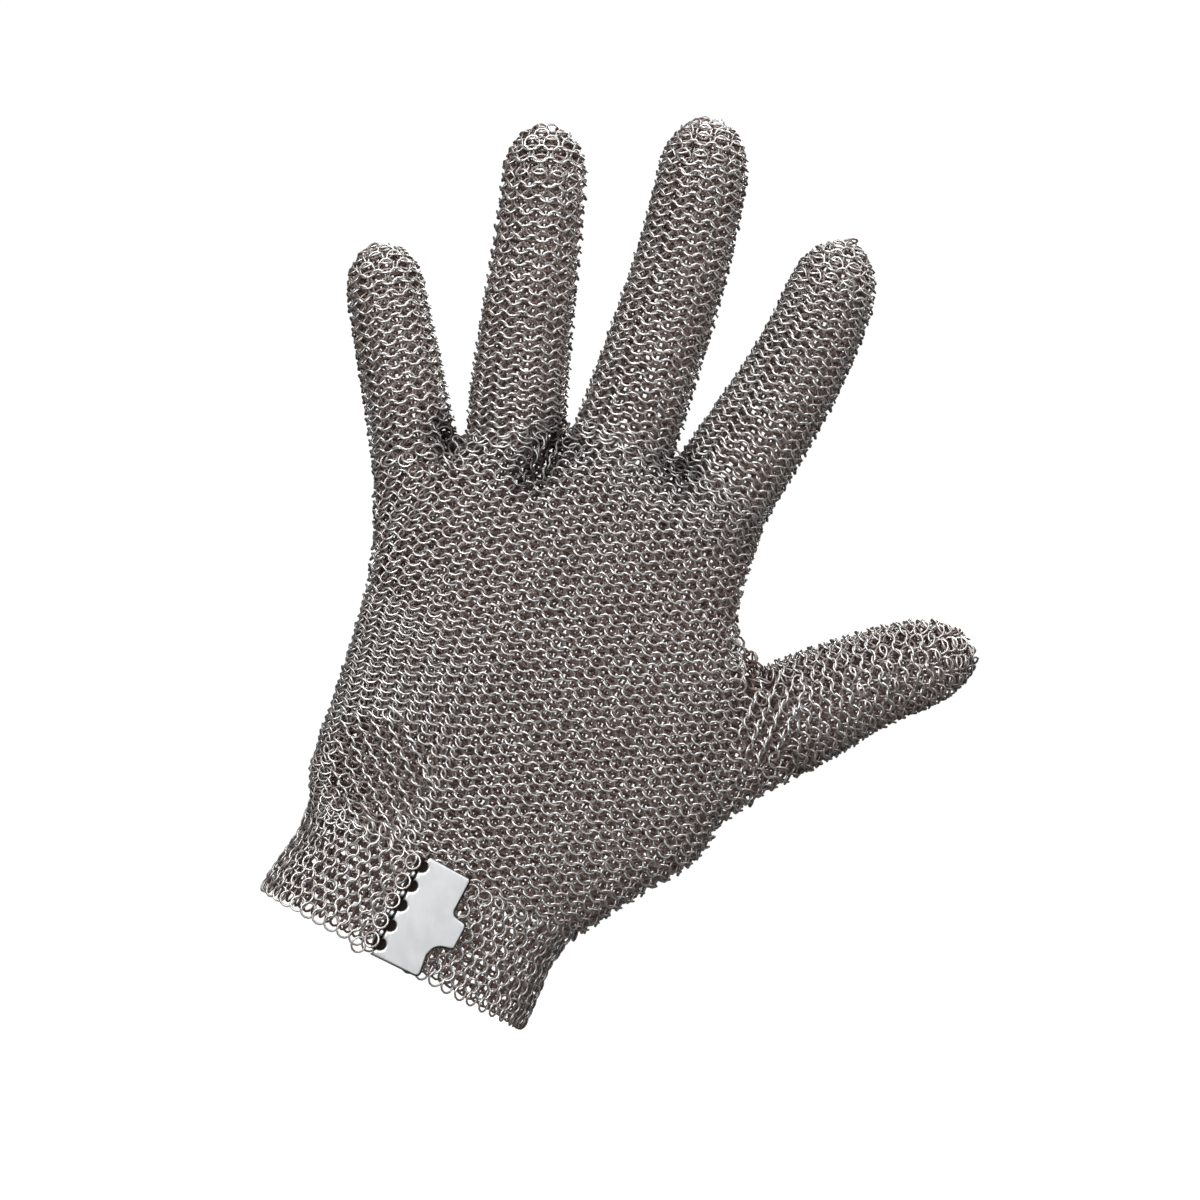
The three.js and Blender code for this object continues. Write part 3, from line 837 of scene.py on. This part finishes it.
# Materials
def steel_wear_and_shade_group():
    """Steel that is bright where lit and a dark brown painted shade elsewhere, with real stains and
    random tone, darkened further by painted shade in the folds.
    """
    group = bpy.data.node_groups.new("steel_wear_and_shade", "ShaderNodeTree")
    face = group.interface
    for name, kind, value in (
        ("Lit Share", "NodeSocketFloat", 1.0),
        ("Shade", "NodeSocketFloat", 0.5),
        ("Bright", "NodeSocketColor", (0.8, 0.8, 0.8, 1)),
        ("Painted Shade", "NodeSocketColor", (0.1, 0.08, 0.07, 1)),
        ("Smooth", "NodeSocketFloat", 0.25),
        ("Rough", "NodeSocketFloat", 0.6),
        ("Stain Size", "NodeSocketFloat", 60.0),
        ("Stain Depth", "NodeSocketFloat", 0.25),
        ("Scratch Depth", "NodeSocketFloat", 0.0),
        ("Painted Fold Shade", "NodeSocketFloat", 0.0),
    ):
        socket = face.new_socket(name, in_out="INPUT", socket_type=kind)
        socket.default_value = value
    face.new_socket("Color", in_out="OUTPUT", socket_type="NodeSocketColor")
    face.new_socket("Roughness", in_out="OUTPUT", socket_type="NodeSocketFloat")
    face.new_socket("Height", in_out="OUTPUT", socket_type="NodeSocketFloat")
    nodes = group.nodes
    links = group.links
    given = nodes.new("NodeGroupInput")
    out = nodes.new("NodeGroupOutput")
    place = nodes.new("ShaderNodeTexCoord")
    noise = nodes.new("ShaderNodeTexNoise")
    noise.inputs["Detail"].default_value = 4
    links.new(place.outputs["Object"], noise.inputs["Vector"])
    links.new(given.outputs["Stain Size"], noise.inputs["Scale"])
    stain = nodes.new("ShaderNodeMapRange")
    stain.inputs["From Min"].default_value = 0.35
    stain.inputs["From Max"].default_value = 0.65
    stain.inputs["To Min"].default_value = 0
    links.new(noise.outputs["Fac"], stain.inputs["Value"])
    links.new(given.outputs["Stain Depth"], stain.inputs["To Max"])
    vary = nodes.new("ShaderNodeMath")
    vary.operation = "MULTIPLY"
    vary.inputs[1].default_value = 0.3
    links.new(given.outputs["Shade"], vary.inputs[0])
    loss = nodes.new("ShaderNodeMath")
    loss.operation = "ADD"
    links.new(stain.outputs["Result"], loss.inputs[0])
    links.new(vary.outputs[0], loss.inputs[1])
    # The painted light share, less real stains and random tone
    keep = nodes.new("ShaderNodeMath")
    keep.operation = "SUBTRACT"
    keep.use_clamp = True
    links.new(given.outputs["Lit Share"], keep.inputs[0])
    links.new(loss.outputs[0], keep.inputs[1])
    # Bright steel mixed with the painted shade colour
    colour = nodes.new("ShaderNodeMix")
    colour.data_type = "RGBA"
    links.new(keep.outputs[0], colour.inputs["Factor"])
    links.new(given.outputs["Painted Shade"], colour.inputs["A"])
    links.new(given.outputs["Bright"], colour.inputs["B"])
    # Painted shade in the crotches and along the sides darkens the colour
    folded = nodes.new("ShaderNodeMapRange")
    folded.inputs["To Min"].default_value = 1
    folded.inputs["To Max"].default_value = PAINTED_SHADE_DARKEST
    links.new(given.outputs["Painted Fold Shade"], folded.inputs["Value"])
    darker = nodes.new("ShaderNodeVectorMath")
    darker.operation = "SCALE"
    links.new(colour.outputs["Result"], darker.inputs["Vector"])
    links.new(folded.outputs["Result"], darker.inputs["Scale"])
    links.new(darker.outputs["Vector"], out.inputs["Color"])
    turn = nodes.new("ShaderNodeMapping")
    turn.inputs["Rotation"].default_value = (0, FOREARM_LEAN, 0)
    turn.inputs["Scale"].default_value = SCRATCH_SCALE
    links.new(place.outputs["Object"], turn.inputs["Vector"])
    scratch = nodes.new("ShaderNodeTexNoise")
    scratch.inputs["Scale"].default_value = 1
    scratch.inputs["Detail"].default_value = 3
    links.new(turn.outputs["Vector"], scratch.inputs["Vector"])
    height = nodes.new("ShaderNodeMath")
    height.operation = "MULTIPLY"
    links.new(scratch.outputs["Fac"], height.inputs[0])
    links.new(given.outputs["Scratch Depth"], height.inputs[1])
    links.new(height.outputs[0], out.inputs["Height"])
    rough = nodes.new("ShaderNodeMix")
    rough.data_type = "FLOAT"
    rougher = nodes.new("ShaderNodeMath")
    rougher.operation = "ADD"
    links.new(given.outputs["Smooth"], rougher.inputs[0])
    links.new(height.outputs[0], rougher.inputs[1])
    links.new(keep.outputs[0], rough.inputs["Factor"])
    links.new(given.outputs["Rough"], rough.inputs["A"])
    links.new(rougher.outputs[0], rough.inputs["B"])
    links.new(rough.outputs["Result"], out.inputs["Roughness"])
    return group


def steel_material(name, wear_and_shade, values):
    """A steel finish: the shared group of wear and painted light and shade, with its own values."""
    material = bpy.data.materials.new(name)
    material.use_nodes = True
    nodes = material.node_tree.nodes
    links = material.node_tree.links
    shader = nodes["Principled BSDF"]
    shader.inputs["Metallic"].default_value = 1
    group = nodes.new("ShaderNodeGroup")
    group.node_tree = wear_and_shade
    for key, value in values.items():
        group.inputs[key].default_value = value
    links.new(group.outputs["Color"], shader.inputs["Base Color"])
    links.new(group.outputs["Roughness"], shader.inputs["Roughness"])
    return material, group


def plate_steel(wear_and_shade):
    """Satin sheet, finely scratched along the forearm, with a dark painted shade on its under side and
    lower rim.
    """
    material, group = steel_material("plate_steel", wear_and_shade, PLATE_FINISH_AND_SHADE)
    nodes = material.node_tree.nodes
    links = material.node_tree.links
    outside = nodes.new("ShaderNodeAttribute")
    outside.attribute_name = "outside"
    links.new(outside.outputs["Fac"], group.inputs["Lit Share"])
    bump = nodes.new("ShaderNodeBump")
    bump.inputs["Strength"].default_value = 0.25
    bump.inputs["Distance"].default_value = 0.02 * MM
    links.new(group.outputs["Height"], bump.inputs["Height"])
    links.new(bump.outputs["Normal"], nodes["Principled BSDF"].inputs["Normal"])
    return material


def ring_steel(wear_and_shade):
    """Round wire, bright on the outside of the glove, with a dark brown painted shade inside it."""
    material, group = steel_material("ring_steel", wear_and_shade, RING_FINISH_AND_SHADE)
    nodes = material.node_tree.nodes
    links = material.node_tree.links
    # Facing of the wire: wire that faces into the glove gets a painted shade
    outside = nodes.new("ShaderNodeAttribute")
    outside.attribute_name = "outside"
    lit_facing = nodes.new("ShaderNodeMapRange")
    lit_facing.inputs["From Min"].default_value = LIT_FACING_FROM
    lit_facing.inputs["From Max"].default_value = LIT_FACING_TO
    lit_facing.inputs["To Max"].default_value = LIT_FACING_MOST
    links.new(outside.outputs["Fac"], lit_facing.inputs["Value"])
    # Depth in the wall: deeper wire gets more painted shade
    height = nodes.new("ShaderNodeAttribute")
    height.attribute_name = "height"
    depth_shade = nodes.new("ShaderNodeMapRange")
    depth_shade.inputs["From Min"].default_value = DEPTH_SHADE_FROM
    depth_shade.inputs["From Max"].default_value = DEPTH_SHADE_TO
    depth_shade.inputs["To Min"].default_value = DEPTH_SHADE_LEAST
    links.new(height.outputs["Fac"], depth_shade.inputs["Value"])
    both = nodes.new("ShaderNodeMath")
    both.operation = "MULTIPLY"
    links.new(lit_facing.outputs["Result"], both.inputs[0])
    links.new(depth_shade.outputs["Result"], both.inputs[1])
    links.new(both.outputs[0], group.inputs["Lit Share"])
    shade = nodes.new("ShaderNodeAttribute")
    shade.attribute_name = "shade"
    links.new(shade.outputs["Fac"], group.inputs["Shade"])
    # Painted shade in the crotches and along the sides
    painted_fold_shade = nodes.new("ShaderNodeAttribute")
    painted_fold_shade.attribute_name = "painted_fold_shade"
    links.new(painted_fold_shade.outputs["Fac"], group.inputs["Painted Fold Shade"])
    return material


def place_piece(rings, name, nodes, material):
    piece = rings.mesh(name)
    piece.data.materials.append(material)
    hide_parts(*nodes)
    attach(piece, "root")
    return piece


# Finishes with their painted shade colours, and where the wire turns from painted shade to bright
RING_FINISH_AND_SHADE = {
    "Bright": (0.66, 0.65, 0.635, 1),
    # Dark brown painted shade of the glove's inside
    "Painted Shade": (0.375, 0.285, 0.257, 1),
    "Smooth": 0.42,
    "Rough": 0.75,
    "Stain Size": 70,
    "Stain Depth": 0.2,
}
PLATE_FINISH_AND_SHADE = {
    "Shade": 0,
    "Bright": (0.93, 0.94, 0.95, 1),
    # Near black painted shade of the back leaf and the lower and right rim
    "Painted Shade": (0.025, 0.018, 0.015, 1),
    "Smooth": 0.3,
    "Rough": 0.6,
    "Stain Size": 150,
    "Stain Depth": 0.12,
    "Scratch Depth": 0.25,
}
SCRATCH_SCALE = (4500, 900, 250)
# Share of the colour left at the darkest painted shade in the crotches
PAINTED_SHADE_DARKEST = 0.22
LIT_FACING_FROM = -0.1
LIT_FACING_TO = 0.3
LIT_FACING_MOST = 1.2
DEPTH_SHADE_FROM = -0.55
DEPTH_SHADE_TO = 0.2
DEPTH_SHADE_LEAST = 0.45

# Studio
IMAGE_SIDE = 1200
PIXELS_PER_MM = 4.3
WRIST_PIXEL = (391, 960)
LENS = 300
SENSOR = 36
GLOVE_MIDDLE = (0.05, 0, 0.09)
ROOM_COLOUR = (0.98, 1.0, 1.0)
ROOM_STRENGTH = 0.3
FLOOR_LEVEL = -0.06
FLOOR_REACH = 4.5
FLOOR_GLOW = 0.97
WALL_PLACE = 4.2
WALL_TOP = 4
SWEEP_RADIUS = 1.2
SWEEP_STEPS = 16
SOFTBOXES = [
    ("key", (-0.35, -0.9, 0.65), (0.7, 0.7), 14),
    ("fill", (0.75, -0.75, 0.15), (0.3, 0.6), 3),
    ("top", (0.1, -0.1, 0.9), (0.5, 0.15), 3),
    ("back", (0.45, 0.9, 0.6), (0.6, 0.6), 12),
]


def add_camera():
    scale = MM / PIXELS_PER_MM
    x = (IMAGE_SIDE / 2 - WRIST_PIXEL[0]) * scale
    z = (WRIST_PIXEL[1] - IMAGE_SIDE / 2) * scale
    half = IMAGE_SIDE / 2 * scale
    data = bpy.data.cameras.new("camera")
    data.lens = LENS
    data.sensor_width = SENSOR
    data.clip_start = 0.01
    data.clip_end = 20
    camera = bpy.data.objects.new("camera", data)
    camera.location = (x, -half * LENS / (SENSOR / 2), z)
    camera.rotation_euler = (math.pi / 2, 0, 0)
    bpy.context.scene.collection.objects.link(camera)
    bpy.context.scene.camera = camera


def add_area(name, place, size, power, colour=(1, 1, 1)):
    """A soft rectangular light that faces the middle of the glove."""
    data = bpy.data.lights.new(name, "AREA")
    data.shape = "RECTANGLE"
    data.size = size[0]
    data.size_y = size[1]
    data.energy = power
    data.color = colour
    light = bpy.data.objects.new(name, data)
    light.location = place
    direction = Vector(GLOVE_MIDDLE) - Vector(place)
    light.rotation_euler = direction.to_track_quat("-Z", "Y").to_euler()
    bpy.context.scene.collection.objects.link(light)


def add_world():
    """White to the camera, and a dim grey room in the steel's reflections."""
    world = bpy.data.worlds.new("studio")
    world.use_nodes = True
    nodes = world.node_tree.nodes
    links = world.node_tree.links
    seen = nodes["Background"]
    seen.inputs["Color"].default_value = (1, 1, 1, 1)
    seen.inputs["Strength"].default_value = 1
    room = nodes.new("ShaderNodeBackground")
    room.inputs["Color"].default_value = (*ROOM_COLOUR, 1)
    room.inputs["Strength"].default_value = ROOM_STRENGTH
    path = nodes.new("ShaderNodeLightPath")
    mix = nodes.new("ShaderNodeMixShader")
    links.new(path.outputs["Is Camera Ray"], mix.inputs["Fac"])
    links.new(room.outputs[0], mix.inputs[1])
    links.new(seen.outputs[0], mix.inputs[2])
    links.new(mix.outputs[0], nodes["World Output"].inputs["Surface"])
    bpy.context.scene.world = world


def sweep_material():
    """A pale floor, kept dim in reflections so that the mesh stays dark inside."""
    material = bpy.data.materials.new("pale_floor")
    material.use_nodes = True
    nodes = material.node_tree.nodes
    links = material.node_tree.links
    floor = nodes["Principled BSDF"]
    floor.inputs["Base Color"].default_value = (0.2, 0.2, 0.2, 1)
    floor.inputs["Roughness"].default_value = 0.9
    floor.inputs["Emission Color"].default_value = (1, 1, 1, 1)
    floor.inputs["Emission Strength"].default_value = FLOOR_GLOW
    dim = nodes.new("ShaderNodeBsdfDiffuse")
    dim.inputs["Color"].default_value = (0.1, 0.1, 0.1, 1)
    path = nodes.new("ShaderNodeLightPath")
    mix = nodes.new("ShaderNodeMixShader")
    links.new(path.outputs["Is Camera Ray"], mix.inputs["Fac"])
    links.new(dim.outputs[0], mix.inputs[1])
    links.new(floor.outputs[0], mix.inputs[2])
    links.new(mix.outputs[0], nodes["Material Output"].inputs["Surface"])
    return material


def add_sweep():
    """The floor, which curves up into a wall far behind."""
    shape = bmesh.new()
    profile = [(-FLOOR_REACH, 0)]
    for step in range(SWEEP_STEPS + 1):
        angle = math.pi / 2 * step / SWEEP_STEPS
        rise = SWEEP_RADIUS * (1 - math.cos(angle))
        profile.append((WALL_PLACE - SWEEP_RADIUS + SWEEP_RADIUS * math.sin(angle), rise))
    profile.append((WALL_PLACE, WALL_TOP))
    line = [shape.verts.new((-FLOOR_REACH, y, FLOOR_LEVEL + z)) for y, z in profile]
    edges = [shape.edges.new(pair) for pair in zip(line, line[1:])]
    made = bmesh.ops.extrude_edge_only(shape, edges=edges)
    moved = [item for item in made["geom"] if isinstance(item, bmesh.types.BMVert)]
    bmesh.ops.translate(shape, verts=moved, vec=(2 * FLOOR_REACH, 0, 0))
    bmesh.ops.recalc_face_normals(shape, faces=shape.faces)
    data = bpy.data.meshes.new("sweep")
    shape.to_mesh(data)
    shape.free()
    data.shade_smooth()
    floor = bpy.data.objects.new("sweep", data)
    floor.data.materials.append(sweep_material())
    bpy.context.scene.collection.objects.link(floor)
    floor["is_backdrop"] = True


def add_studio():
    add_world()
    add_sweep()
    bpy.context.scene.view_settings.view_transform = "Standard"
    for name, place, size, power in SOFTBOXES:
        add_area(name, place, size, power)


# Build: the studio, the steels, the hand, the digits, the cuff and the clasp
add_camera()
add_studio()

steel_wear_and_shade = steel_wear_and_shade_group()
wire_steel = ring_steel(steel_wear_and_shade)
satin_steel = plate_steel(steel_wear_and_shade)

digits = list(DIGITS)
hand = hand_wall()
glove_tree = tree_of([*digits, "hand_mesh"])
for is_palm in (False, True):
    sheet = hand_rings(hand, is_palm)
    keep_own(sheet, "hand_mesh", [*digits, "cuff_band"])
    clear_gathers(sheet)
    if not is_palm:
        for spot in GATHERS:
            sheet.join(gather_rings(glove_tree, spot))
    is_upper = sheet.centres @ FOREARM > SHEET_SPLIT
    upper_name, lower_name = ("palm_rings", "heel_rings") if is_palm else ("back_rings", "wrist_rings")
    for part_name, chosen in ((upper_name, is_upper), (lower_name, ~is_upper)):
        place_piece(sheet.part(chosen), part_name, ["hand_mesh"], wire_steel)
for name, weave in DIGITS.items():
    others = [other for other in [*digits, "hand_mesh"] if other != name]
    stall_wall = digit_wall(name)
    for is_palm in (False, True):
        stall = digit_rings(stall_wall, weave, is_palm)
        keep_own(stall, name, others)
        clear_gathers(stall)
        side_name = "_palm_rings" if is_palm else "_back_rings"
        place_piece(stall, name + side_name, [name], wire_steel)
band = cuff_wall()
for is_palm, columns in ((False, CUFF_COLUMNS), (True, CUFF_GATHERED_COLUMNS)):
    cuff = cuff_rings(band, columns, is_palm)
    keep_own(cuff, "cuff_band", ["hand_mesh"])
    if not is_palm:
        cuff.join(hook_rings())
    side_name = "cuff_palm_rings" if is_palm else "cuff_back_rings"
    place_piece(cuff, side_name, ["cuff_band"], wire_steel)

clasp = clasp_piece()
clasp.data.materials.append(satin_steel)
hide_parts("clasp_plate")
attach(clasp, "root")

# Triangle counts
total = 0
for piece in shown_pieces():
    triangles = sum(len(p.vertices) - 2 for p in piece.data.polygons)
    total += triangles
    print("PIECE", piece.name, triangles)
print("TOTAL", total)
